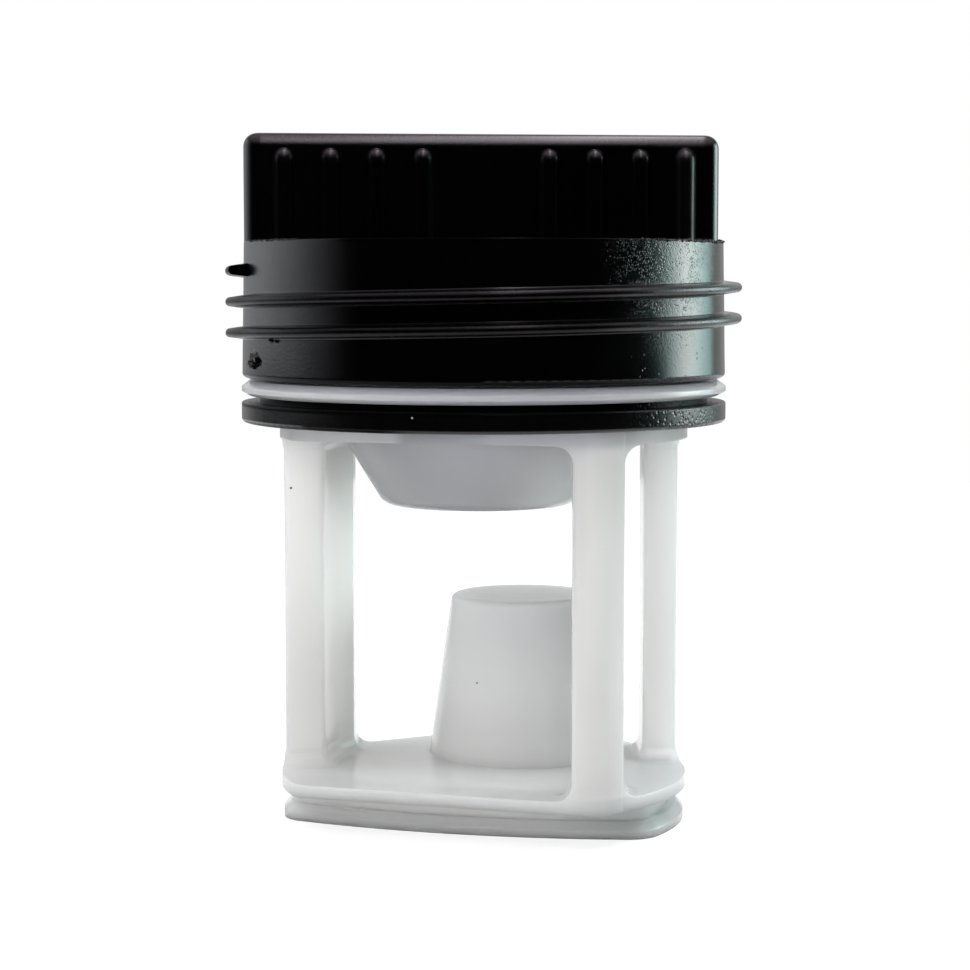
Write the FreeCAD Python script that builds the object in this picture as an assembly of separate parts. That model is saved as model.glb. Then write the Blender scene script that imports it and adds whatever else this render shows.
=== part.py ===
import FreeCAD
import Part
import math
import os

os.makedirs("parts", exist_ok=True)
Vec = FreeCAD.Vector
UP = Vec(0, 0, 1)
ORIGIN = Vec(0, 0, 0)
FULL_TURN = 360.0
QUARTER_TURN = FULL_TURN / 4
tiny = 0.01

# Sizes in millimetres. Angles in degrees, counted from +X towards +Y, with the viewer on the -Y side.
# The axis of the screw is Z, and Z = 0 is the underside of the foot.

# Cage heights, stacked from the floor up
foot_thickness = 1.9
groove_height = 2.1
plate_thickness = 1.5
window_height = 40.9
disc_thickness = 1.9
seat_height = 3.2
flange_thickness = 1.8

# Outline shared by the base plate and the upper disc: a circle with two flats
rim_radius = 24.7
front_flat_angle = 253.0
front_flat_distance = 16.7
front_corner_radius = 3.5
back_flat_angle = 118.0
back_flat_distance = 21.4

# Foot: a circle with one bowed front, and the groove between foot and plate
foot_inset = 0.25
foot_front_angle = 256.0
foot_front_distance = 12.9
foot_bow_radius = 95.0
foot_corner_radius = 4.0
foot_bevel = 0.9
groove_depth = 1.8

# Posts, flush with the outline and straight along the mould's pull
post_inset = 0.1
front_post_proud = 0.3
left_post_front_angle = 176.0
left_post_back_angle = 132.2
left_post_depth = 4.9
right_post_front_angle = 11.0
right_post_depth = 4.75
front_post_angle = -49.1
front_post_width = 6.0
front_post_depth = 5.0
post_edge_radius = 0.6
post_foot_radius = 2.0
root_steps = 5

# Bowl under the disc, close behind the front flat and a little off centre
bowl_flat_margin = 0.2
bowl_shift = -0.6
bowl_depth = 8.3
bowl_slope = 31.0
bowl_corner_radius = 2.3
cage_wall = 1.6

# Off-centre plug on the base plate
plug_rim_margin = 1.25
plug_angle = 64.5
plug_top_radius = 9.0
plug_height = 20.25
plug_draft = 8.0
plug_edge_radius = 0.9

# Screw cap: collar, standing out past the rim of the cage
collar_overhang = 4.45
collar_draft = 0.3
collar_height = 16.2
collar_wall = 2.1
collar_edge_radius = 0.6
deck_thickness = 2.2
bead_height = 2.0
bead_lead = 0.9

# Clearances between the turning cap and the cage: along the axis, around the hooks, inside the bead
run_gap = 0.3
hook_gap = 0.5
bead_gap = 1.1

# Seat, flange and the skirt whose hooks snap over the bead inside the cap
neck_inset = 0.7
flange_lip = 0.1
flange_bevel = 0.75
flange_bevel_reach = 1.0
flange_under_bevel = 0.5
flange_under_reach = 0.9
skirt_wall = 2.2
skirt_height = 7.2
hook_reach = 1.8
hook_height = 1.6
finger_slots = 6
finger_slot_width = 2.0

# Sealing ring, as wide as the flange
seal_lip_height = 2.4
seal_neck_step = 2.2
seal_edge_radius = 0.5
seal_rim_radius = 0.2

# Screw cap: bar grip with ribs
bar_height = 12.7
bar_thickness = 11.0
bar_turn = 5.5
bar_end_inset = 0.45
bar_shift = -0.4
bar_wall = 2.2
bar_end_edge_radius = 2.0
bar_top_edge_radius = 1.6
rib_radius = 1.2
rib_sunk = 0.4
rib_first_left = 7.35
rib_first_right = 7.7
rib_end_margin = 4.35
ribs_each_side = 4
rib_top_margin = 1.8

# Screw thread: right-hand, one start
thread_depth = 1.95
thread_root_width = 1.75
thread_crest_width = 1.05
thread_crest_round = 0.36
thread_pitch = 3.7
thread_height = 4.95
thread_start_angle = 148.0
thread_end_angle = 915.0
thread_run_in = 26.0
thread_sunk = 0.5
thread_step = 15.0

# Torn-off gate on the collar, and a crumb of flash under the thread
gate_angle = 203.5
gate_height = 2.3
gate_width = 6.6
gate_tall = 2.7
gate_depth = 0.7
gate_corners = 11
gate_raggedness = 0.2
gate_floor_share = 0.5
gate_stub_radius = 0.35
flash_angle = 214.5
flash_radius = 0.34

# Radii that follow
foot_radius = rim_radius - foot_inset
neck_radius = rim_radius - neck_inset
collar_radius = rim_radius + collar_overhang
collar_top_radius = collar_radius - collar_draft
collar_bore = collar_top_radius - collar_wall
flange_radius = collar_radius + flange_lip
seal_lip_radius = flange_radius
hook_radius = collar_bore - hook_gap
skirt_radius = hook_radius - hook_reach
skirt_bore = skirt_radius - skirt_wall
bead_radius = skirt_radius + bead_gap
bar_half_length = collar_top_radius - bar_end_inset

# Heights that follow
groove_z = foot_thickness
plate_z = groove_z + groove_height
window_z = plate_z + plate_thickness
disc_z = window_z + window_height
seat_z = disc_z + disc_thickness
flange_z = seat_z + seat_height
skirt_z = flange_z + flange_thickness
cap_z = skirt_z + run_gap
deck_z = cap_z + collar_height
top_z = deck_z + bar_height


def direction(angle):
    return Vec(math.cos(math.radians(angle)), math.sin(math.radians(angle)), 0)


def turned_solid(points):
    """Solid of revolution about Z from (radius, height) points."""
    wire = Part.makePolygon([Vec(r, 0, z) for r, z in points + points[:1]])
    return Part.Face(wire).revolve(ORIGIN, UP, FULL_TURN)


def disc(radius, z, height):
    return Part.makeCylinder(radius, height, Vec(0, 0, z))


def slab(angle, distance, reach, z, height):
    """Block that starts at a distance from the axis along an angle and runs outwards."""
    block = Part.makeBox(reach, 2 * reach, height, Vec(distance, -reach, z))
    block.rotate(ORIGIN, UP, angle)
    return block


def upright_edges(shape, z, height):
    """Straight edges that run from z through the whole height."""
    found = []
    for edge in shape.Edges:
        box = edge.BoundBox
        if abs(box.ZMin - z) < tiny and abs(box.ZLength - height) < tiny and edge.Length < height + tiny:
            found.append(edge)
    return found


def level_edges(shape, z):
    """Edges that lie flat at one height."""
    return [e for e in shape.Edges if abs(e.BoundBox.ZMin - z) < tiny and abs(e.BoundBox.ZMax - z) < tiny]


# Base plate and upper disc
post_radius = rim_radius - post_inset
left_side = post_radius * math.cos(math.radians(left_post_back_angle))
left_front = post_radius * math.sin(math.radians(left_post_front_angle))
right_side = post_radius - right_post_depth
right_front = post_radius * math.sin(math.radians(right_post_front_angle))
front_far = post_radius * math.cos(math.radians(front_post_angle))
front_near = front_far - front_post_width


def outline(z, height, proud=0):
    """Rim outline: the circle, the two flats, rounded corners on the front flat."""
    shape = disc(rim_radius + proud, z, height)
    shape = shape.cut(slab(front_flat_angle, front_flat_distance, 2 * rim_radius, z, height))
    shape = shape.cut(slab(back_flat_angle, back_flat_distance, 2 * rim_radius, z, height))
    facing = direction(front_flat_angle)
    corners = []
    for edge in upright_edges(shape, z, height):
        if edge.CenterOfMass.dot(facing) > front_flat_distance - tiny:
            corners.append(edge)
    return shape.makeFillet(front_corner_radius, corners)


def left_post(z, height):
    ring = disc(post_radius, z, height).cut(disc(post_radius - left_post_depth, z, height))
    reach = 2 * rim_radius
    block = Part.makeBox(reach, reach, height, Vec(left_side - reach, left_front, z))
    return ring.common(block)


def right_post(z, height):
    reach = 2 * rim_radius
    block = Part.makeBox(reach, reach, height, Vec(right_side, right_front, z))
    return disc(post_radius, z, height).common(block)


def front_post(z, height):
    reach = 2 * rim_radius
    block = Part.makeBox(front_post_width, reach, height, Vec(front_near, -reach, z))
    inside = disc(post_radius - front_post_depth, z, height)
    return outline(z, height, front_post_proud).common(block).cut(inside)


def rounded_post(make, z, height):
    """Post with its upright edges rounded."""
    shape = make(z, height)
    return shape.makeFillet(post_edge_radius, upright_edges(shape, z, height))


def rimmed_plate(z, height):
    """Outline plate, carried out under the left post where the post stands past the back flat."""
    return outline(z, height).fuse(left_post(z, height)).removeSplitter()


plate = rimmed_plate(plate_z, plate_thickness)
upper_disc = rimmed_plate(disc_z, disc_thickness)
posts = [
    rounded_post(left_post, window_z, window_height),
    rounded_post(right_post, window_z, window_height),
    rounded_post(front_post, plate_z, seat_z - plate_z),
]

# Foot and groove
foot_bow_centre = direction(foot_front_angle) * (foot_front_distance - foot_bow_radius)


def foot_outline(shrink, z, height):
    bow = Part.makeCylinder(foot_bow_radius - shrink, height, foot_bow_centre + UP * z)
    shape = disc(foot_radius - shrink, z, height).common(bow)
    facing = direction(foot_front_angle)
    edges = [e for e in upright_edges(shape, z, height) if e.CenterOfMass.dot(facing) > tiny]
    return shape.makeFillet(foot_corner_radius, edges)


foot = foot_outline(0, 0, foot_thickness)
foot = foot.makeChamfer(foot_bevel, level_edges(foot, foot_thickness))
core = foot_outline(groove_depth, groove_z, groove_height)

# Plug on the plate, hollow from below
plug_slope = math.tan(math.radians(plug_draft))
plug_base_radius = plug_top_radius + plug_slope * plug_height
plug_offset = rim_radius - plug_base_radius - plug_rim_margin
plug_centre = direction(plug_angle) * plug_offset
plug = Part.makeCone(plug_base_radius, plug_top_radius, plug_height, plug_centre + UP * window_z)
plug = plug.makeFillet(plug_edge_radius, level_edges(plug, window_z + plug_height))
hollow_height = window_z + plug_height - cage_wall
hollow_top = plug_top_radius - cage_wall
hollow_room = foot_radius - groove_depth - cage_wall - plug_offset
hollow_base = min(hollow_top + plug_slope * hollow_height, hollow_room)
hollow = Part.makeCone(hollow_base, hollow_top, hollow_height, plug_centre)

# Bowl, seat, flange and snap skirt, turned in one profile
bowl_top = front_flat_distance - bowl_flat_margin
bowl_bottom = bowl_top - bowl_depth * math.tan(math.radians(bowl_slope))
bowl_z = disc_z - bowl_depth
skirt_top = skirt_z + skirt_height
hook_z = skirt_top - hook_height
bowl_axis = Vec(bowl_shift, 0, 0)
bowl = Part.makeCone(bowl_bottom, bowl_top, bowl_depth, bowl_axis + UP * bowl_z)
bowl = bowl.makeFillet(bowl_corner_radius, level_edges(bowl, bowl_z))
upper = turned_solid([
    (0, seat_z),
    (neck_radius, seat_z),
    (neck_radius, flange_z),
    (flange_radius - flange_under_reach, flange_z),
    (flange_radius, flange_z + flange_under_bevel),
    (flange_radius, skirt_z - flange_bevel),
    (flange_radius - flange_bevel_reach, skirt_z),
    (skirt_radius, skirt_z),
    (skirt_radius, hook_z),
    (hook_radius, hook_z),
    (hook_radius, hook_z + hook_height / 2),
    (skirt_radius, skirt_top),
    (0, skirt_top),
])
floor_z = seat_z + cage_wall
basin_rise = floor_z - bowl_z - cage_wall
basin_bottom = bowl_bottom - cage_wall / 2
basin_top = basin_bottom + basin_rise * math.tan(math.radians(bowl_slope))
basin_at = bowl_axis + UP * (bowl_z + cage_wall)
basin = Part.makeCone(basin_bottom, basin_top, basin_rise, basin_at)
basin = basin.makeFillet(bowl_corner_radius / 2, level_edges(basin, bowl_z + cage_wall))
well = disc(skirt_bore, floor_z, 2 * skirt_height + skirt_top - floor_z)
slots = []
for n in range(finger_slots):
    slot_at = Vec(0, -finger_slot_width / 2, skirt_z + skirt_wall)
    slot = Part.makeBox(2 * hook_radius, finger_slot_width, skirt_height, slot_at)
    slot.rotate(ORIGIN, UP, FULL_TURN * n / finger_slots)
    slots.append(slot)


def root_flare(post, z, way):
    """Hollow-curved foot of a post, grown out of its plan and trimmed to the rim."""
    base = min(post.Faces, key=lambda f: f.CenterOfMass.z).OuterWire
    base.translate(UP * (z - base.BoundBox.ZMin))
    sections = []
    for n in range(root_steps + 1):
        turn = math.pi / 2 * n / root_steps
        grown = post_foot_radius * (1 - math.sin(turn))
        wire = base.makeOffset2D(grown) if n < root_steps else base.copy()
        wire.translate(UP * (way * post_foot_radius * (1 - math.cos(turn))))
        sections.append(wire)
    sunk = sections[0].copy()
    sunk.translate(UP * (-way * plate_thickness / 2))
    flare = Part.makeLoft([sunk] + sections, True, True)
    box = flare.BoundBox
    return flare.common(rimmed_plate(box.ZMin, box.ZLength))


flares = [root_flare(post, window_z, 1) for post in posts]
flares += [root_flare(post, disc_z, -1) for post in posts]
frame = plate.fuse([upper_disc] + posts + flares)
cage = frame.fuse([foot, core, plug, bowl, upper]).removeSplitter()
cage = cage.cut([hollow, basin, well] + slots)
cage.exportStep("parts/filter_cage.step")

# Sealing ring, filling the seat
seal_neck = seal_lip_radius - seal_neck_step
lip_top = seat_z + seal_lip_height
seal = disc(seal_lip_radius, seat_z, seal_lip_height)
seal = seal.makeFillet(seal_edge_radius, level_edges(seal, seat_z))
seal = seal.makeFillet(seal_rim_radius, level_edges(seal, lip_top))
seal = seal.fuse(disc(seal_neck, seat_z + seal_edge_radius, seat_height - seal_edge_radius))
seal = seal.cut(disc(neck_radius, seat_z, seat_height))
seal.exportStep("parts/sealing_ring.step")

# Screw cap: collar with its deck, and the bar grip on the deck
collar = turned_solid([
    (0, cap_z),
    (collar_radius, cap_z),
    (collar_top_radius, deck_z),
    (0, deck_z),
])
collar = collar.makeFillet(collar_edge_radius, level_edges(collar, cap_z))


def on_bar(shape):
    """Move a shape drawn along X to where the bar stands."""
    shape.translate(Vec(bar_shift, 0, 0))
    shape.rotate(ORIGIN, UP, bar_turn)
    return shape


def bar_block(half_length, half_thickness, z, height, corner):
    at = Vec(-half_length, -half_thickness, z)
    block = Part.makeBox(2 * half_length, 2 * half_thickness, height, at)
    return block.makeFillet(corner, upright_edges(block, z, height))


bar = bar_block(bar_half_length, bar_thickness / 2, deck_z, bar_height, bar_end_edge_radius)
bar = on_bar(bar.makeFillet(bar_top_edge_radius, level_edges(bar, top_z)))

# Half-round ribs on both long faces
rib_z = deck_z - deck_thickness / 2
rib_end = top_z - rib_top_margin
shoulder_z = rib_end - rib_radius
halfway = rib_radius * math.sqrt(2) / 2
rib_dome = Part.Arc(
    Vec(rib_radius, 0, shoulder_z),
    Vec(halfway, 0, shoulder_z + halfway),
    Vec(0, 0, rib_end),
)
rib_profile = Part.Wire([
    Part.makeLine(Vec(0, 0, rib_z), Vec(rib_radius, 0, rib_z)),
    Part.makeLine(Vec(rib_radius, 0, rib_z), Vec(rib_radius, 0, shoulder_z)),
    rib_dome.toShape(),
    Part.makeLine(Vec(0, 0, rib_end), Vec(0, 0, rib_z)),
])
rib = Part.Face(rib_profile).revolve(ORIGIN, UP, FULL_TURN)
rib_pitch = (bar_half_length - rib_end_margin - rib_first_right) / (ribs_each_side - 1)
ribs = []
for n in range(ribs_each_side):
    for along in (-rib_first_left - n * rib_pitch, rib_first_right + n * rib_pitch):
        for face in (-1, 1):
            one = rib.copy()
            one.translate(Vec(along, face * (bar_thickness / 2 - rib_sunk), 0))
            ribs.append(on_bar(one))

# Screw thread: one smooth skin through sections along the helix
thread_root = collar_top_radius - thread_sunk


def thread_section(angle):
    turns = (angle - thread_start_angle) / FULL_TURN
    z = cap_z + thread_height + thread_pitch * turns
    grown = min(1.0, (angle - thread_start_angle) / thread_run_in)
    grown = math.sin(grown * math.pi / 2)
    crest = collar_radius + thread_depth * grown
    root_half = thread_root_width / 2 * (1 + grown) / 2
    crest_half = thread_crest_width / 2 * (1 + grown) / 2
    shoulder = crest - thread_crest_round * (1 + grown) / 2
    out = direction(angle)
    root_low = out * thread_root + UP * (z - root_half)
    low = out * shoulder + UP * (z - crest_half)
    high = out * shoulder + UP * (z + crest_half)
    root_high = out * thread_root + UP * (z + root_half)
    return Part.Wire([
        Part.makeLine(root_low, low),
        Part.Arc(low, out * crest + UP * z, high).toShape(),
        Part.makeLine(high, root_high),
        Part.makeLine(root_high, root_low),
    ])


steps = math.ceil((thread_end_angle - thread_start_angle) / thread_step)
stride = (thread_end_angle - thread_start_angle) / steps
sections = [thread_section(thread_start_angle + n * stride) for n in range(steps + 1)]
thread = Part.makeLoft(sections, True, False)

# Inside of the cap: bore with snap bead, grip cored from below
bead_top = hook_z - run_gap
bead_z = bead_top - bead_height
under_deck = deck_z - deck_thickness
bore = turned_solid([
    (0, cap_z - collar_height),
    (collar_bore, cap_z - collar_height),
    (collar_bore, bead_z),
    (bead_radius, bead_z + bead_lead),
    (bead_radius, bead_top),
    (collar_bore, bead_top),
    (collar_bore, under_deck),
    (0, under_deck),
])
core_z = under_deck - deck_thickness
core_half = bar_thickness / 2 - bar_wall
bar_core = bar_block(bar_half_length - bar_wall, core_half, core_z, top_z - bar_wall - core_z, bar_wall / 2)
bar_core = on_bar(bar_core)

# Gate mark: a ragged shallow pit with the torn stub left in it
gate_out = direction(gate_angle)
gate_along = direction(gate_angle + QUARTER_TURN)
gate_at = gate_out * collar_radius + UP * (cap_z + gate_height)


def gate_ring(size, depth):
    corners = []
    for n in range(gate_corners):
        turn = 2 * math.pi * n / gate_corners
        reach = size * (1 + gate_raggedness * math.sin(gate_corners * n))
        along = gate_along * (gate_width / 2 * reach * math.cos(turn))
        corners.append(gate_at + along + UP * (gate_tall / 2 * reach * math.sin(turn)) - gate_out * depth)
    return Part.makePolygon(corners + corners[:1])


gate_mouth = gate_ring(1 + gate_raggedness, -gate_depth)
gate_floor = gate_ring(gate_floor_share, gate_depth)
pit = Part.makeLoft([gate_mouth, gate_floor], True, True)
stub = Part.makeCylinder(gate_stub_radius, gate_depth * 2, gate_at - gate_out * gate_depth * 2, gate_out)
flash_z = cap_z + thread_height + thread_pitch * (flash_angle - thread_start_angle) / FULL_TURN
flash_at = direction(flash_angle) * (collar_radius + flash_radius)
flash = Part.makeSphere(flash_radius, flash_at + UP * (flash_z - thread_root_width / 2))

cap = collar.fuse([bar, thread] + ribs)
cap = cap.cut([bore, bar_core, pit]).fuse([stub, flash])
cap.exportStep("parts/screw_cap.step")
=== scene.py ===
import math

import bpy
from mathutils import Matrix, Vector


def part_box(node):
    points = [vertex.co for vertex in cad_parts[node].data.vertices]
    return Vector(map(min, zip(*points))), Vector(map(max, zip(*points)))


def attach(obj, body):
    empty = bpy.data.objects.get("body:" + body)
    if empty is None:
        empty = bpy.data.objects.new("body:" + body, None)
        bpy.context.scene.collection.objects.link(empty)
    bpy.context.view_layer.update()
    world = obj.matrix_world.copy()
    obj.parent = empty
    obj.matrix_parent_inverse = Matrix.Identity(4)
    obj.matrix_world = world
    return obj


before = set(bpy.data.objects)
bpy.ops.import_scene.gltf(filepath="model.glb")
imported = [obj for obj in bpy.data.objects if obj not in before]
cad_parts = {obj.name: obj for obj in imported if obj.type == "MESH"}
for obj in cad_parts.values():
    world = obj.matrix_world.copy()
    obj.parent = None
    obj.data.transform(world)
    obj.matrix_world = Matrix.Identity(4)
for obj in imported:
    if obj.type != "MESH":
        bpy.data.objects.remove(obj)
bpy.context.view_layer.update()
scene = bpy.context.scene
scene.view_settings.view_transform = "Standard"


# Places on the filter, in metres: heights above the floor, and distances from the screw axis

SCREW_AXIS = (0, 0, 0)
CAP_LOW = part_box("screw_cap")[0].z
CAP_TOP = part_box("screw_cap")[1].z
COLLAR_RADIUS = 0.02915
COLLAR_RIM_RADIUS = 0.02885
DECK = CAP_LOW + 0.0162  # top of the collar, where the grip bar starts
BAR_HALF = 0.0055  # half the bar's thickness
BAR_TURN = math.radians(5.5)  # between the bar and the view
LAST_RIB_LEFT = 0.0205  # along the bar, just left of its last rib on the right
PITTED_SPOT = (0.0205, -0.0205, 0.0695)
STRAY_PIT_SPOT = (0.0215, -0.0195, 0.0585)

SEAL_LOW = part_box("sealing_ring")[0].z
SEAL_LIP_TOP = SEAL_LOW + 0.0024
PEELED_SPOT = (0.0235, -0.0175, 0.0495)

PLATE_TOP = 0.0055
PLATE_FRONT_SPOT = (-0.007, -0.013, PLATE_TOP)
PLUG_AXIS = (0.005, 0.01047, 0)
PLUG_FOOT_RADIUS = 0.01185
FRONT_POST_SPOT = (0.0135, -0.0185, 0)
LEFT_POST_SPOT = (-0.0225, 0.006, 0)
BOWL_LOW = 0.0381
BOWL_REACH = 0.0172  # just outside the bowl
DISC_LOW = 0.0464
FLANGE_BEVEL_LOW = 0.05255
# Middle of the painted shade on the flange's front
FLANGE_SHADE_SPOT = (0.001, -0.0285, 0.0525)


# Small helpers for node trees

class Tree:
    """A node tree with short ways to add nodes and to join their sockets."""

    def __init__(self, tree):
        self.tree = tree
        self.tree.nodes.clear()

    def add(self, kind, **settings):
        node = self.tree.nodes.new(kind)
        for name, value in settings.items():
            setattr(node, name, value)
        return node

    def give(self, value, socket):
        """Feed a socket from another one, or set it to a plain value."""
        if isinstance(value, bpy.types.NodeSocket):
            self.tree.links.new(value, socket)
        else:
            socket.default_value = value

    def axes(self, place):
        """The coordinates of a place: across, deep and height."""
        node = self.add("ShaderNodeSeparateXYZ")
        self.give(place, node.inputs["Vector"])
        return node.outputs["X"], node.outputs["Y"], node.outputs["Z"]

    def mapped(self, place, scale=(1, 1, 1), turn=0.0):
        node = self.add("ShaderNodeMapping")
        node.inputs["Scale"].default_value = scale
        node.inputs["Rotation"].default_value = (0, 0, turn)
        self.give(place, node.inputs["Vector"])
        return node.outputs["Vector"]

    def flat(self, place):
        """The place brought down to the floor, to measure from an upright axis."""
        return self.mapped(place, scale=(1, 1, 0))

    def noise(self, place, scale, detail=2.0, rough=0.5):
        node = self.add("ShaderNodeTexNoise")
        node.inputs["Scale"].default_value = scale
        node.inputs["Detail"].default_value = detail
        node.inputs["Roughness"].default_value = rough
        self.give(place, node.inputs["Vector"])
        return node.outputs["Fac"]

    def cells(self, place, scale):
        """Distance to the nearest of many strewn points."""
        node = self.add("ShaderNodeTexVoronoi", feature="F1")
        node.inputs["Scale"].default_value = scale
        self.give(place, node.inputs["Vector"])
        return node.outputs["Distance"]

    def math(self, operation, *values):
        node = self.add("ShaderNodeMath", operation=operation)
        for value, socket in zip(values, node.inputs):
            self.give(value, socket)
        return node.outputs["Value"]

    def product(self, first, *others):
        for other in others:
            first = self.math("MULTIPLY", first, other)
        return first

    def largest(self, first, *others):
        for other in others:
            first = self.math("MAXIMUM", first, other)
        return first

    def span(self, value, low, high, to_low, to_high):
        """Map a value from one range to another, smoothly and clamped."""
        node = self.add("ShaderNodeMapRange", interpolation_type="SMOOTHSTEP")
        node.inputs["From Min"].default_value = low
        node.inputs["From Max"].default_value = high
        node.inputs["To Min"].default_value = to_low
        node.inputs["To Max"].default_value = to_high
        self.give(value, node.inputs["Value"])
        return node.outputs["Result"]

    def above(self, value, low, high):
        """0 under the range, 1 over it."""
        return self.span(value, low, high, 0.0, 1.0)

    def below(self, value, low, high):
        """1 under the range, 0 over it."""
        return self.span(value, low, high, 1.0, 0.0)

    def band(self, value, low, full, hold, high):
        """0 outside low and high, 1 from full to hold."""
        return self.product(self.above(value, low, full), self.below(value, hold, high))

    def near(self, place, point, inner, outer):
        """1 close to a point of the object, falling to 0 further out."""
        node = self.add("ShaderNodeVectorMath", operation="DISTANCE")
        node.inputs[1].default_value = point
        self.give(place, node.inputs[0])
        return self.below(node.outputs["Value"], inner, outer)

    def blend(self, share, first, second):
        """Mix of two colours."""
        node = self.add("ShaderNodeMix", data_type="RGBA")
        for name, value in (("Factor", share), ("A", first), ("B", second)):
            self.give(value, node.inputs[name])
        return node.outputs["Result"]

    def ramp(self, value, levels):
        """Levels set at equal steps from 0 to 1, with straight lines between them."""
        node = self.add("ShaderNodeValToRGB")
        stops = node.color_ramp.elements
        last = len(levels) - 1
        for n, level in enumerate(levels):
            stop = stops[0] if n == 0 else stops[-1] if n == last else stops.new(n / last)
            stop.position = n / last
            stop.color = (level, level, level, 1)
        self.give(value, node.inputs["Fac"])
        return node.outputs["Color"]

    def bump(self, height, depth, strength, before):
        node = self.add("ShaderNodeBump")
        node.inputs["Distance"].default_value = depth
        node.inputs["Strength"].default_value = strength
        self.give(height, node.inputs["Height"])
        self.give(before, node.inputs["Normal"])
        return node.outputs["Normal"]


def bare_material(name):
    material = bpy.data.materials.new(name)
    material.use_nodes = True
    return material, Tree(material.node_tree)


def moulded_material(name, refraction):
    """Material of a moulded piece, with its shader and the place that its patterns follow."""
    material, tree = bare_material(name)
    shader = tree.add("ShaderNodeBsdfPrincipled")
    shader.inputs["IOR"].default_value = refraction
    output = tree.add("ShaderNodeOutputMaterial")
    tree.give(shader.outputs["BSDF"], output.inputs["Surface"])
    place = tree.add("ShaderNodeTexCoord").outputs["Object"]
    return material, tree, shader, place


def soft_edges(tree, radius):
    """Shading normal with every sharp edge rounded, as a mould leaves it."""
    node = tree.add("ShaderNodeBevel", samples=6)
    tree.give(radius, node.inputs["Radius"])
    return node.outputs["Normal"]


# Black plastic of the cap

def cap_pits(tree, place, pitted_side):
    """Depth of the pits: crowded on the pitted side of the collar, with a few strays below."""
    coarse = tree.span(tree.cells(place, 2900), 0.06, 0.42, -0.85, 0.0)
    fine = tree.span(tree.cells(place, 4900), 0.06, 0.4, -0.65, 0.0)
    crowded = tree.product(pitted_side, tree.above(tree.noise(place, 420), 0.3, 0.5))
    crowd = tree.product(tree.math("ADD", coarse, fine), crowded)
    stray = tree.span(tree.cells(place, 850), 0.08, 0.15, -1.6, 0.0)
    strays = tree.product(stray, tree.near(place, STRAY_PIT_SPOT, 0.004, 0.009))
    return tree.math("ADD", crowd, strays)


def cap_relief(tree, place, patches, on_thread, pits, edge_radius):
    """Shading normal of the cap: soft edges, slow waves, grain that is coarser on the thread, and pits."""
    waves = tree.noise(place, 140, 1.0)
    grain = tree.noise(place, 3200, 3.0, 0.6)
    grain = tree.product(grain, tree.span(patches, 0.35, 0.65, 0.45, 1.0), tree.math("ADD", 1.0, on_thread))
    normal = tree.bump(waves, 0.00005, 0.4, soft_edges(tree, edge_radius))
    normal = tree.bump(grain, 0.00003, 0.7, normal)
    return tree.bump(pits, 0.00003, 1.0, normal)


def black_plastic():
    """Moulded black polypropylene: smooth and dark, pitted like hammered metal on the collar's upper right.

    The ribs' flanks, the thread's crest and the collar's edges are duller than the rest.
    """
    material, tree, shader, place = moulded_material("cap_black_plastic", 1.5)
    across, _, height = tree.axes(place)
    bar_across, bar_deep, _ = tree.axes(tree.mapped(place, turn=-BAR_TURN))
    on_bar = tree.above(height, DECK, DECK + 0.0004)
    from_bar_middle = tree.math("ABSOLUTE", bar_deep)
    on_rib = tree.product(tree.above(from_bar_middle, BAR_HALF + 0.00002, BAR_HALF + 0.0002), on_bar)
    on_collar = tree.near(tree.flat(place), SCREW_AXIS, COLLAR_RADIUS + 0.00035, COLLAR_RADIUS + 0.00095)
    on_thread = tree.math("SUBTRACT", 1.0, on_collar)
    patches = tree.noise(place, 55)
    tint = tree.blend(patches, (0.0002, 0.0002, 0.0003, 1), (0.0007, 0.0007, 0.0008, 1))
    tree.give(tint, shader.inputs["Base Color"])

    pitted_side = tree.near(place, PITTED_SPOT, 0.005, 0.0155)
    pits = cap_pits(tree, place, pitted_side)
    on_bar_right = tree.product(tree.above(bar_across, LAST_RIB_LEFT - 0.001, LAST_RIB_LEFT), on_bar)
    edge_radius = tree.span(on_bar_right, 0.0, 1.0, 0.0002, 0.0007)
    normal = cap_relief(tree, place, patches, on_thread, pits, edge_radius)
    tree.give(normal, shader.inputs["Normal"])

    under_rib_domes = tree.below(height, CAP_TOP - 0.0039, CAP_TOP - 0.0027)
    before_last_rib = tree.below(bar_across, LAST_RIB_LEFT, LAST_RIB_LEFT + 0.001)
    rib_flank = tree.product(on_rib, under_rib_domes, before_last_rib)
    lower_edge = tree.below(height, CAP_LOW + 0.0003, CAP_LOW + 0.0008)
    upper_edge = tree.band(height, DECK - 0.0005, DECK - 0.0002, DECK + 0.0001, DECK + 0.0002)
    upper_edge = tree.product(upper_edge, tree.band(across, -0.018, -0.014, 0.012, 0.018))
    left_of_crest = tree.span(across, 0.010, 0.020, 0.65, 0.0)
    end_of_crest = tree.span(across, -0.0295, -0.0265, 0.3, 0.0)
    crest = tree.product(tree.math("ADD", left_of_crest, end_of_crest), on_thread)
    dull = tree.largest(rib_flank, lower_edge, upper_edge, crest)
    shine = tree.math("ADD", tree.span(dull, 0.0, 1.0, 0.5, 0.07), tree.product(pitted_side, 0.16))
    tree.give(shine, shader.inputs["Specular IOR Level"])
    worn = tree.product(tree.largest(on_rib, on_thread), 0.09)
    roughness = tree.math("ADD", tree.span(patches, 0.3, 0.7, 0.17, 0.22), worn)
    tree.give(roughness, shader.inputs["Roughness"])
    return material


# Black rubber of the seal

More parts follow.
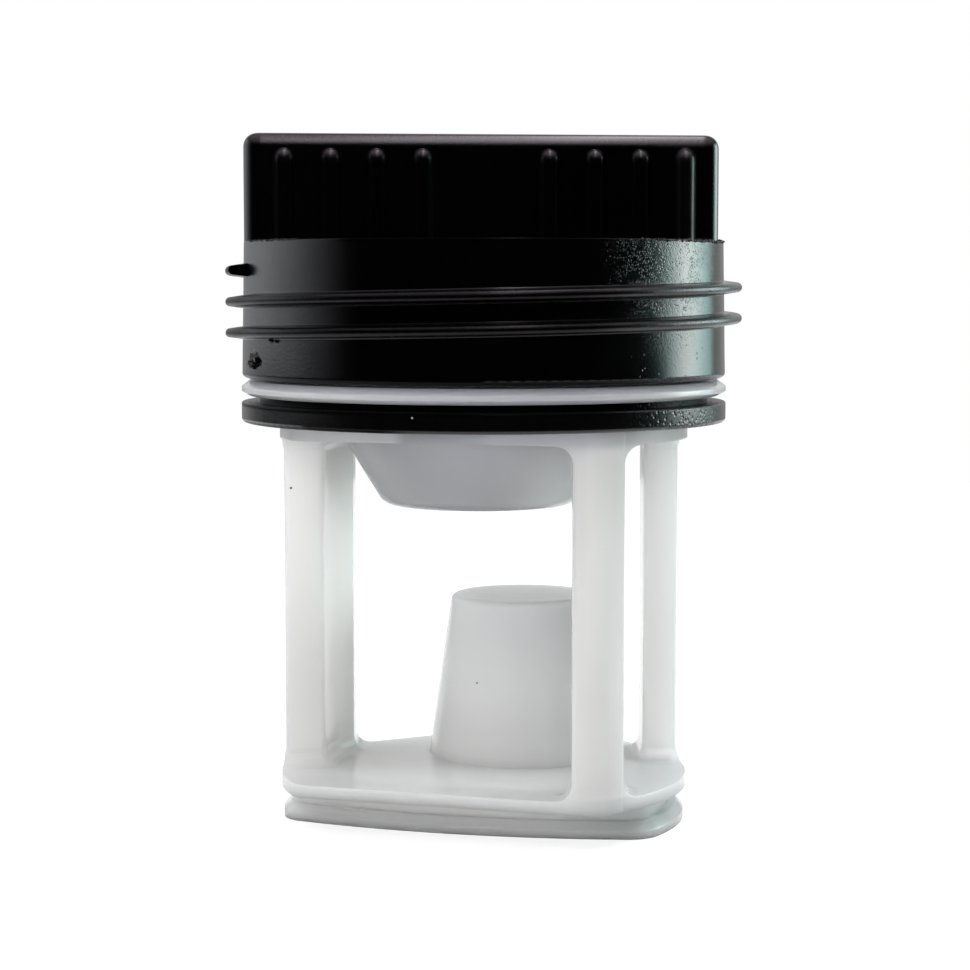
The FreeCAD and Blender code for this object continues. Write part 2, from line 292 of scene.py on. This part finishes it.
def black_rubber():
    """Sealing rubber: smooth skin with an orange-peel patch on the right, dull on its upper face."""
    material, tree, shader, place = moulded_material("seal_black_rubber", 1.5)
    across, _, height = tree.axes(place)
    skin = tree.noise(place, 2400, 2.0, 0.55)
    patches = tree.noise(place, 70)
    dimples = tree.span(tree.cells(place, 1600), 0.06, 0.45, -1.0, 0.0)
    peel = tree.product(dimples, tree.near(place, PEELED_SPOT, 0.004, 0.0125))
    normal = tree.bump(skin, 0.00002, 0.5, soft_edges(tree, 0.00015))
    normal = tree.bump(peel, 0.00005, 0.8, normal)
    tree.give(normal, shader.inputs["Normal"])

    tint = tree.blend(patches, (0.0006, 0.0006, 0.0007, 1), (0.0014, 0.0014, 0.0015, 1))
    dust_left = tree.near(place, (-0.00785, -0.02817, 0.05012), 0.00006, 0.00014)
    dust_middle = tree.near(place, (0.00071, -0.02868, 0.0507), 0.00005, 0.00011)
    tint = tree.blend(tree.largest(dust_left, dust_middle), tint, (0.45, 0.42, 0.38, 1))
    tree.give(tint, shader.inputs["Base Color"])

    lip_edge = tree.above(height, SEAL_LIP_TOP - 0.0007, SEAL_LIP_TOP - 0.0002)
    lip_edge = tree.product(lip_edge, tree.below(across, 0.012, 0.020))
    lip_face = tree.above(height, SEAL_LIP_TOP - 0.0001, SEAL_LIP_TOP)
    lower_edge = tree.below(height, SEAL_LOW + 0.0002, SEAL_LOW + 0.0006)
    lower_edge = tree.product(lower_edge, tree.below(across, -0.012, -0.006))
    dull = tree.largest(lip_edge, lip_face, lower_edge)
    tree.give(tree.span(dull, 0.0, 1.0, 0.5, 0.03), shader.inputs["Specular IOR Level"])
    tree.give(tree.span(skin, 0.3, 0.7, 0.2, 0.27), shader.inputs["Roughness"])
    return material


# White plastic of the cage

def cage_tone_with_painted_light(tree, place):
    """Milky white with a random tone and a few dark specks. Painted shade greys it under the cap, on the
    bowl (darkest on its left), on the flange's front and upper bevel, on the plug's and the left post's
    lower parts, on the front post, along the foot's lower edge and on the base's right; painted light makes
    it paler on the plate's front, the plug and in the groove.
    """
    across, _, height = tree.axes(place)
    floor_place = tree.flat(place)
    in_bowl = tree.near(floor_place, SCREW_AXIS, BOWL_REACH, BOWL_REACH + 0.0006)
    in_bowl = tree.product(in_bowl, tree.above(height, BOWL_LOW - 0.0031, BOWL_LOW - 0.0011))
    # Painted shade on the bowl: dark on its left, lighter towards its right.
    bowl_painted_shade = tree.blend(tree.above(across, 0.0, 0.0095), (0.37, 0.375, 0.39, 1), (0.72, 0.735, 0.73, 1))
    # Painted shade: the bowl, the disc and what lies above them are greyed, where the cap casts its shadow.
    shade_under_cap = tree.largest(in_bowl, tree.above(height, DISC_LOW - 0.0008, DISC_LOW + 0.0004))
    # Painted shade on the flange's upper bevel under the collar, fading out towards the right.
    shaded_bevel = tree.above(height, FLANGE_BEVEL_LOW - 0.00015, FLANGE_BEVEL_LOW + 0.00005)
    shaded_bevel = tree.product(shaded_bevel, tree.span(across, 0.018, 0.027, 1.0, 0.3))

    round_plug = tree.near(floor_place, PLUG_AXIS, PLUG_FOOT_RADIUS + 0.00025, PLUG_FOOT_RADIUS + 0.00085)
    # Painted shade on the plug's lower part, down to where it meets the plate.
    shaded_plug_foot = tree.band(height, PLATE_TOP - 0.00002, PLATE_TOP + 0.00006, 0.008, 0.018)
    on_plug = tree.product(round_plug, tree.band(height, 0.009, 0.020, 0.0275, 0.029))
    in_groove = tree.band(height, 0.001, 0.0016, 0.0038, 0.0043)
    on_plate = tree.near(place, PLATE_FRONT_SPOT, 0.006, 0.018)
    plate_level = tree.band(
        height, PLATE_TOP - 0.0005, PLATE_TOP - 0.0001, PLATE_TOP + 0.0002, PLATE_TOP + 0.0007
    )
    # Painted light: the plate's front, the plug and the groove are paler, standing in for light shining
    # through the milky plastic.
    pale = tree.largest(tree.product(on_plate, plate_level), on_plug, in_groove)

    # Painted shade: the front post, which is lit more than the parts behind it, is greyed to match them.
    shaded_front_post = tree.near(floor_place, FRONT_POST_SPOT, 0.005, 0.009)
    shaded_front_post = tree.product(shaded_front_post, tree.band(height, 0.0045, 0.0075, 0.044, 0.047))
    # Painted shade on the left post's lower part, near its foot.
    shaded_left_post_foot = tree.near(floor_place, LEFT_POST_SPOT, 0.006, 0.012)
    left_foot_level = tree.band(height, PLATE_TOP, PLATE_TOP + 0.003, 0.012, 0.032)
    shaded_left_post_foot = tree.product(shaded_left_post_foot, left_foot_level)
    # Painted shade on the base's right side, below the plate's top face.
    shaded_right_of_base = tree.above(across, 0.006, 0.020)
    shaded_right_of_base = tree.product(shaded_right_of_base, tree.below(height, PLATE_TOP + 0.0001, PLATE_TOP + 0.0007))
    speck_on_post = tree.near(place, (-0.02363, 0.00172, 0.03983), 0.00010, 0.00018)
    speck_on_plug = tree.near(place, (-0.00083, 0.00185, 0.01565), 0.00008, 0.00015)

    tone = tree.blend(tree.noise(place, 60, 3.0), (0.80, 0.80, 0.785, 1), (0.84, 0.84, 0.825, 1))
    # Tones laid over the base: painted shade, painted light, and dark specks.
    changes = (
        (shade_under_cap, (0.60, 0.605, 0.615, 1)),
        (in_bowl, bowl_painted_shade),
        # Painted shade, grey and bluish, on the flange's front.
        (tree.near(place, FLANGE_SHADE_SPOT, 0.008, 0.022), (0.50, 0.52, 0.565, 1)),
        (shaded_bevel, (0.44, 0.455, 0.49, 1)),
        (tree.product(round_plug, shaded_plug_foot), (0.70, 0.70, 0.69, 1)),
        (shaded_front_post, (0.685, 0.69, 0.68, 1)),
        # Painted shade along the foot's lower edge, darker towards the bottom.
        (tree.below(height, 0.0006, 0.0012), (0.70, 0.70, 0.70, 1)),
        # Painted light, paler, on the plate's front, the plug and in the groove.
        (pale, (0.93, 0.925, 0.90, 1)),
        (shaded_right_of_base, (0.60, 0.63, 0.62, 1)),
        (shaded_left_post_foot, (0.72, 0.72, 0.71, 1)),
        (tree.largest(speck_on_post, speck_on_plug), (0.05, 0.045, 0.04, 1)),
    )
    for share, colour in changes:
        tone = tree.blend(share, tone, colour)
    return tone


def white_plastic():
    """Natural polypropylene: milky and glossy, light passes into it a few millimetres."""
    material, tree, shader, place = moulded_material("cage_white_plastic", 1.49)
    shader.inputs["Subsurface Weight"].default_value = 1.0
    shader.inputs["Subsurface Radius"].default_value = (1.0, 0.98, 0.95)
    shader.inputs["Subsurface Scale"].default_value = 0.008
    # The base colour carries the cage's painted shade and painted light.
    tree.give(cage_tone_with_painted_light(tree, place), shader.inputs["Base Color"])
    flow = tree.noise(tree.mapped(place, scale=(420, 420, 16)), 1.0)
    tree.give(tree.span(flow, 0.3, 0.7, 0.13, 0.17), shader.inputs["Roughness"])
    normal = tree.bump(tree.noise(place, 110), 0.00004, 0.4, soft_edges(tree, 0.00025))
    normal = tree.bump(flow, 0.00001, 0.3, normal)
    tree.give(normal, shader.inputs["Normal"])
    return material


finishes = {
    "screw_cap": black_plastic(),
    "sealing_ring": black_rubber(),
    "filter_cage": white_plastic(),
}
for node_name, finish in finishes.items():
    for material_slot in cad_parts[node_name].material_slots:
        material_slot.material = finish


# Moulding flash: ragged lumps along the collar's rim, and crumbs at the gate mark

def flash_tree():
    """Lumps strewn along a spiral, which runs clockwise from its start. With no rise it is a level arc."""
    group = bpy.data.node_groups.new("ragged_flash", "GeometryNodeTree")
    face = group.interface
    face.new_socket("Geometry", in_out="OUTPUT", socket_type="NodeSocketGeometry")
    for name in ("Radius", "Height", "Rise", "Turns", "Start Angle", "Lump Size", "Scatter"):
        face.new_socket(name, in_out="INPUT", socket_type="NodeSocketFloat")
    for name in ("Lumps", "Seed"):
        face.new_socket(name, in_out="INPUT", socket_type="NodeSocketInt")
    face.new_socket("Material", in_out="INPUT", socket_type="NodeSocketMaterial")
    tree = Tree(group)
    given = tree.add("NodeGroupInput").outputs
    result = tree.add("NodeGroupOutput").inputs["Geometry"]

    def chance(low, high, step):
        """Random vector per lump, its seed counted up from the tree's own."""
        node = tree.add("FunctionNodeRandomValue", data_type="FLOAT_VECTOR")
        sockets = [socket for socket in node.inputs if socket.enabled]
        for value, socket in zip((low, high), sockets):
            tree.give(value, socket)
        seed = tree.add("FunctionNodeIntegerMath", operation="ADD")
        seed.inputs[1].default_value = step
        tree.give(given["Seed"], seed.inputs[0])
        tree.give(seed.outputs[0], node.inputs["Seed"])
        return [socket for socket in node.outputs if socket.enabled][0]

    def times(vector, factor):
        node = tree.add("ShaderNodeVectorMath", operation="SCALE")
        tree.give(vector, node.inputs[0])
        tree.give(factor, node.inputs["Scale"])
        return node.outputs["Vector"]

    path = tree.add("GeometryNodeCurveSpiral")
    path.inputs["Resolution"].default_value = 128
    tree.give(given["Turns"], path.inputs["Rotations"])
    tree.give(given["Radius"], path.inputs["Start Radius"])
    tree.give(given["Radius"], path.inputs["End Radius"])
    tree.give(given["Rise"], path.inputs["Height"])
    lift = tree.add("ShaderNodeCombineXYZ")
    tree.give(given["Height"], lift.inputs["Z"])
    spin = tree.add("ShaderNodeCombineXYZ")
    tree.give(given["Start Angle"], spin.inputs["Z"])
    placed = tree.add("GeometryNodeTransform")
    tree.give(path.outputs["Curve"], placed.inputs["Geometry"])
    tree.give(lift.outputs["Vector"], placed.inputs["Translation"])
    tree.give(spin.outputs["Vector"], placed.inputs["Rotation"])
    spots = tree.add("GeometryNodeCurveToPoints", mode="COUNT")
    tree.give(placed.outputs["Geometry"], spots.inputs["Curve"])
    tree.give(given["Lumps"], spots.inputs["Count"])
    strewn = tree.add("GeometryNodeSetPosition")
    tree.give(spots.outputs["Points"], strewn.inputs["Geometry"])
    tree.give(times(chance((-1, -1, -1), (1, 1, 1), 0), given["Scatter"]), strewn.inputs["Offset"])

    lump = tree.add("GeometryNodeMeshIcoSphere")
    lump.inputs["Subdivisions"].default_value = 1
    lumps = tree.add("GeometryNodeInstanceOnPoints")
    tree.give(strewn.outputs["Geometry"], lumps.inputs["Points"])
    tree.give(lump.outputs["Mesh"], lumps.inputs["Instance"])
    tree.give(chance((0, 0, 0), (6.28, 6.28, 6.28), 1), lumps.inputs["Rotation"])
    tree.give(times(chance((0.3, 0.3, 0.2), (1.3, 1.0, 0.8), 2), given["Lump Size"]), lumps.inputs["Scale"])
    whole = tree.add("GeometryNodeRealizeInstances")
    tree.give(lumps.outputs["Instances"], whole.inputs["Geometry"])
    coated = tree.add("GeometryNodeSetMaterial")
    tree.give(whole.outputs["Geometry"], coated.inputs["Geometry"])
    tree.give(given["Material"], coated.inputs["Material"])
    tree.give(coated.outputs["Geometry"], result)
    return group


def flash_line(name, group, **values):
    """One line of flash on the cap, turned into a plain mesh."""
    values["Material"] = finishes["screw_cap"]
    maker = bpy.data.objects.new(name, bpy.data.meshes.new(name + "_seed"))
    scene.collection.objects.link(maker)
    modifier = maker.modifiers.new("flash", "NODES")
    modifier.node_group = group
    for item in group.interface.items_tree:
        if item.in_out == "INPUT":
            modifier[item.identifier] = values[item.name.replace(" ", "_")]
    shown = maker.evaluated_get(bpy.context.evaluated_depsgraph_get())
    mesh = bpy.data.meshes.new_from_object(shown)
    bpy.data.objects.remove(maker)
    for polygon in mesh.polygons:
        polygon.use_smooth = True
    piece = bpy.data.objects.new(name, mesh)
    scene.collection.objects.link(piece)
    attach(piece, "cap")


flash = flash_tree()
flash_line(
    "rim_flash_left", flash, Seed=3, Lumps=60, Lump_Size=0.00017, Scatter=0.00006,
    Radius=COLLAR_RIM_RADIUS - 0.00005, Height=DECK - 0.00003, Rise=0.0,
    Turns=0.072, Start_Angle=math.radians(224),
)
flash_line(
    "rim_flash_right", flash, Seed=8, Lumps=100, Lump_Size=0.00022, Scatter=0.00009,
    Radius=COLLAR_RIM_RADIUS + 0.00003, Height=DECK - 0.00008, Rise=0.0,
    Turns=0.122, Start_Angle=math.radians(351),
)
flash_line(
    "gate_crumbs", flash, Seed=5, Lumps=16, Lump_Size=0.00030, Scatter=0.00032,
    Radius=COLLAR_RADIUS - 0.00007, Height=CAP_LOW + 0.0017, Rise=0.0004,
    Turns=0.014, Start_Angle=math.radians(204),
)


# Studio: floor, surroundings, lamps

# Soft light by direction, near the floor's level and from higher up, in order round the object
LOW_LIGHT = {
    "back": 0.20, "left back": 0.34, "left": 0.02, "left front": 0.77,
    "front": 0.72, "right front": 0.18, "right": 0.31, "right back": 0.26,
}
HIGH_LIGHT = {
    "back": 0.22, "left back": 0.60, "left": 0.84, "left front": 0.24,
    "front": 0.0, "right front": 0.0, "right": 0.0, "right back": 0.0,
}
SOFT_LIGHT = 4.0  # strength of a level of 1
FILTER_MIDDLE = Vector((0, 0, 0.045))


def seen_directly(tree):
    """1 for camera, mirror and see-through rays."""
    path = tree.add("ShaderNodeLightPath").outputs
    return tree.largest(path["Is Camera Ray"], path["Is Glossy Ray"], path["Is Transmission Ray"])


def studio_floor(radius, behind):
    """Round sheet of white paper under and behind the object."""
    mesh = bpy.data.meshes.new("studio_floor")
    corners = 96
    ring = []
    for n in range(corners):
        turn = 2 * math.pi * n / corners
        ring.append((radius * math.cos(turn), behind + radius * math.sin(turn), 0.0))
    mesh.from_pydata(ring, [], [list(range(corners))])
    floor = bpy.data.objects.new("studio_floor", mesh)
    scene.collection.objects.link(floor)
    material, tree = bare_material("studio_floor")
    paper = tree.add("ShaderNodeBsdfDiffuse")
    paper.inputs["Color"].default_value = (0.15, 0.15, 0.15, 1)
    faint = tree.add("ShaderNodeBsdfDiffuse")
    faint.inputs["Color"].default_value = (0.3, 0.3, 0.3, 1)
    glow = tree.add("ShaderNodeEmission")
    glow.inputs["Strength"].default_value = 0.8
    seen = tree.add("ShaderNodeAddShader")
    tree.give(faint.outputs["BSDF"], seen.inputs[0])
    tree.give(glow.outputs["Emission"], seen.inputs[1])
    mix = tree.add("ShaderNodeMixShader")
    tree.give(seen_directly(tree), mix.inputs["Fac"])
    tree.give(paper.outputs["BSDF"], mix.inputs[1])
    tree.give(seen.outputs["Shader"], mix.inputs[2])
    output = tree.add("ShaderNodeOutputMaterial")
    tree.give(mix.outputs["Shader"], output.inputs["Surface"])
    mesh.materials.append(material)


def mirrored_room(tree, across, deep, up):
    """What shiny surfaces mirror: a pale backdrop, and a strip of light overhead to the right."""
    backdrop = tree.product(tree.above(deep, 0.5, 0.9), tree.span(up, 0.05, 0.12, 0.47, 0.75))
    overhead = tree.product(tree.span(up, 0.3, 1.0, 0.0, 8.0), tree.below(deep, 0.3, 0.75))
    strip = tree.product(tree.span(across, 0.03, 0.13, 0.12, 1.0), tree.span(across, 0.15, 0.24, 1.0, 0.15))
    return tree.math("ADD", backdrop, tree.product(overhead, strip))


def soft_room(tree, across, deep, up):
    """Soft light from all round, by direction."""
    turned = tree.math("ARCTAN2", across, tree.product(deep, -1))
    share = tree.math("ADD", tree.math("DIVIDE", turned, 2 * math.pi), 0.5)
    low, high = [
        tree.ramp(share, list(light.values()) + [light["back"]]) for light in (LOW_LIGHT, HIGH_LIGHT)
    ]
    low = tree.product(low, tree.span(tree.math("ABSOLUTE", up), 0.2, 0.45, SOFT_LIGHT, 0.0))
    high = tree.product(high, tree.span(up, 0.2, 0.45, 0.0, SOFT_LIGHT), tree.below(up, 0.7, 0.95))
    return tree.math("ADD", low, high)


def surroundings():
    """White to the camera, a room in reflections, and soft light on what is not mirrored."""
    world = bpy.data.worlds.new("studio")
    scene.world = world
    world.use_nodes = True
    tree = Tree(world.node_tree)
    path = tree.add("ShaderNodeLightPath").outputs
    across, deep, up = tree.axes(tree.add("ShaderNodeTexCoord").outputs["Generated"])
    mirrored = tree.product(mirrored_room(tree, across, deep, up), path["Is Glossy Ray"])
    soft = tree.product(soft_room(tree, across, deep, up), path["Is Diffuse Ray"])
    level = tree.math("ADD", mirrored, soft)
    level = tree.largest(level, path["Is Camera Ray"], path["Is Transmission Ray"])
    tinted = tree.product(tree.above(up, 0.3, 0.6), path["Is Glossy Ray"])
    background = tree.add("ShaderNodeBackground")
    tree.give(tree.blend(tinted, (1, 1, 1, 1), (1.0, 0.89, 0.99, 1)), background.inputs["Color"])
    tree.give(level, background.inputs["Strength"])
    output = tree.add("ShaderNodeOutputWorld")
    tree.give(background.outputs["Background"], output.inputs["Surface"])


def softbox(name, azimuth, elevation, distance, size, radiance, colour):
    """Square lamp that faces the object; azimuth is counted from the viewer, positive to the right."""
    a, e = math.radians(azimuth), math.radians(elevation)
    out = Vector((math.sin(a) * math.cos(e), -math.cos(a) * math.cos(e), math.sin(e)))
    lamp = bpy.data.lights.new(name, "AREA")
    lamp.shape = "RECTANGLE"
    lamp.size, lamp.size_y = size
    lamp.energy = radiance * math.pi * size[0] * size[1]
    lamp.color = colour
    holder = bpy.data.objects.new(name, lamp)
    holder.location = FILTER_MIDDLE + out * distance
    holder.rotation_mode = "QUATERNION"
    holder.rotation_quaternion = (-out).to_track_quat("-Z", "Y")
    holder.visible_glossy = False
    scene.collection.objects.link(holder)


def light_wall(name, edges, heights, strength, rise, fall, rest, dim_tint, full_tint):
    """Curved sheet of light beside the object.

    Its edges are azimuths counted from the viewer, positive to the right. Going round to the back,
    the light rises over one pair of azimuths and falls over another, down to a share of its strength.
    """
    radius = 0.6
    strips = 30
    near_edge, far_edge = edges
    hand = 1 if far_edge > 0 else -1
    corners = []
    for n in range(strips + 1):
        turn = math.radians(near_edge + (far_edge - near_edge) * n / strips)
        for height in heights:
            corners.append((radius * math.sin(turn), -radius * math.cos(turn), height))
    sheets = [(2 * n, 2 * n + 2, 2 * n + 3, 2 * n + 1) for n in range(strips)]
    mesh = bpy.data.meshes.new(name)
    mesh.from_pydata(corners, [], sheets)
    wall = bpy.data.objects.new(name, mesh)
    wall.visible_camera = False
    scene.collection.objects.link(wall)
    material, tree = bare_material(name)
    across, deep, _ = tree.axes(tree.add("ShaderNodeTexCoord").outputs["Object"])
    turned = tree.math("ARCTAN2", tree.product(across, hand), tree.product(deep, -1))
    rising = tree.above(turned, math.radians(rise[0]), math.radians(rise[1]))
    falling = tree.span(turned, math.radians(fall[0]), math.radians(fall[1]), 1.0, rest)
    level = tree.product(rising, falling)
    lamp = tree.add("ShaderNodeEmission")
    tree.give(tree.product(level, strength), lamp.inputs["Strength"])
    tree.give(tree.blend(level, dim_tint, full_tint), lamp.inputs["Color"])
    output = tree.add("ShaderNodeOutputMaterial")
    tree.give(lamp.outputs["Emission"], output.inputs["Surface"])
    mesh.materials.append(material)


studio_floor(radius=0.3, behind=0.2)
surroundings()
light_wall(
    "right_wall", edges=(78, 133.7), heights=(0.02, 0.30), strength=8.0,
    rise=(86, 106), fall=(106, 132), rest=0.3,
    dim_tint=(0.5, 1.0, 0.97, 1), full_tint=(0.93, 1.0, 0.97, 1),
)
light_wall(
    "left_wall", edges=(-58, -152), heights=(0.042, 0.42), strength=1.35,
    rise=(60, 110), fall=(115, 150), rest=0.45,
    dim_tint=(0.9, 0.9, 1.0, 1), full_tint=(0.92, 0.97, 1.0, 1),
)
softbox("top_lamp", 90, 67, 0.66, (0.11, 0.5), 14.0, (1.0, 0.94, 1.0))
softbox("over_lamp", 0, 75, 0.6, (0.4, 0.5), 2.7, (1.0, 0.96, 1.0))

CAMERA_TILT = math.radians(4.859)  # down from level
camera = bpy.data.cameras.new("camera")
camera.sensor_width = 36.0
camera.lens = 88.63
camera_holder = bpy.data.objects.new("camera", camera)
camera_holder.location = (0.00016, -0.290, 0.065)
camera_holder.rotation_euler = (math.pi / 2 - CAMERA_TILT, 0, 0)
scene.collection.objects.link(camera_holder)
scene.camera = camera_holder
